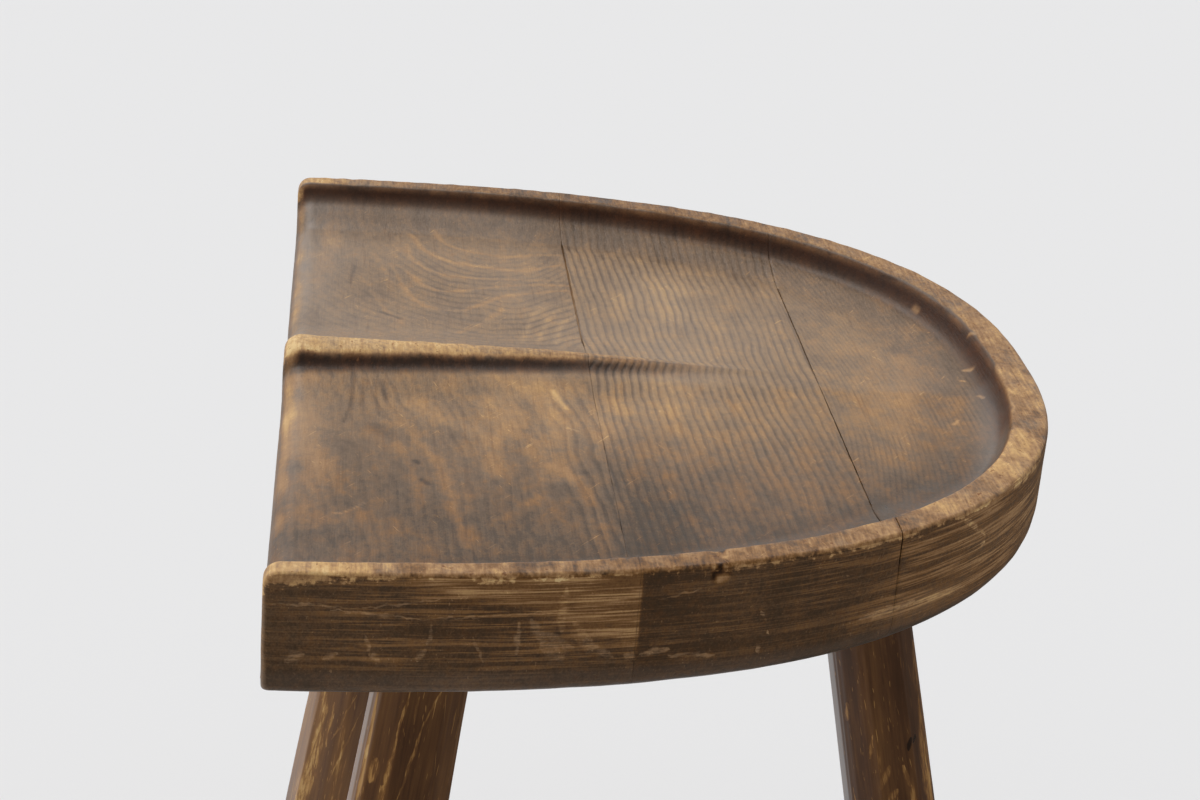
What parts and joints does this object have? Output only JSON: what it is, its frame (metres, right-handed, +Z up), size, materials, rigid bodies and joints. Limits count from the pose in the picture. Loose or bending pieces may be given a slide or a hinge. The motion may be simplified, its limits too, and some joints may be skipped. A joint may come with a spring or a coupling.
{
  "type": "saddle seat work stool",
  "caption": "Wooden work stool with a D-shaped carved saddle seat, a middle ridge, a raised rim and splayed octagonal legs.",
  "frame": {"origin": "on the floor, at the middle of the box round the stool", "axes": "+Z up, front edge of the seat towards -Y, round back towards +Y, seat width along X"},
  "size_m": [0.38, 0.3528, 0.45],
  "materials": {
    "seat": "dark stained softwood, waxed, worn pale on the rim and ridge",
    "leg": "dark reddish brown varnish, worn on the arrises",
    "bare_wood": "unfinished hardwood"
  },
  "bodies": {
    "root": {"seat_board_front": "seat", "seat_board_middle": "seat", "seat_board_back": "seat", "leg_front_left": "leg", "leg_front_right": "leg", "leg_back": "leg", "wedge_front_left": "bare_wood", "wedge_front_right": "bare_wood", "wedge_back": "bare_wood", "dowel_front_left": "bare_wood", "dowel_front_middle": "bare_wood", "dowel_front_right": "bare_wood", "dowel_back_left": "bare_wood", "dowel_back_right": "bare_wood"}
  },
  "joints": []
}
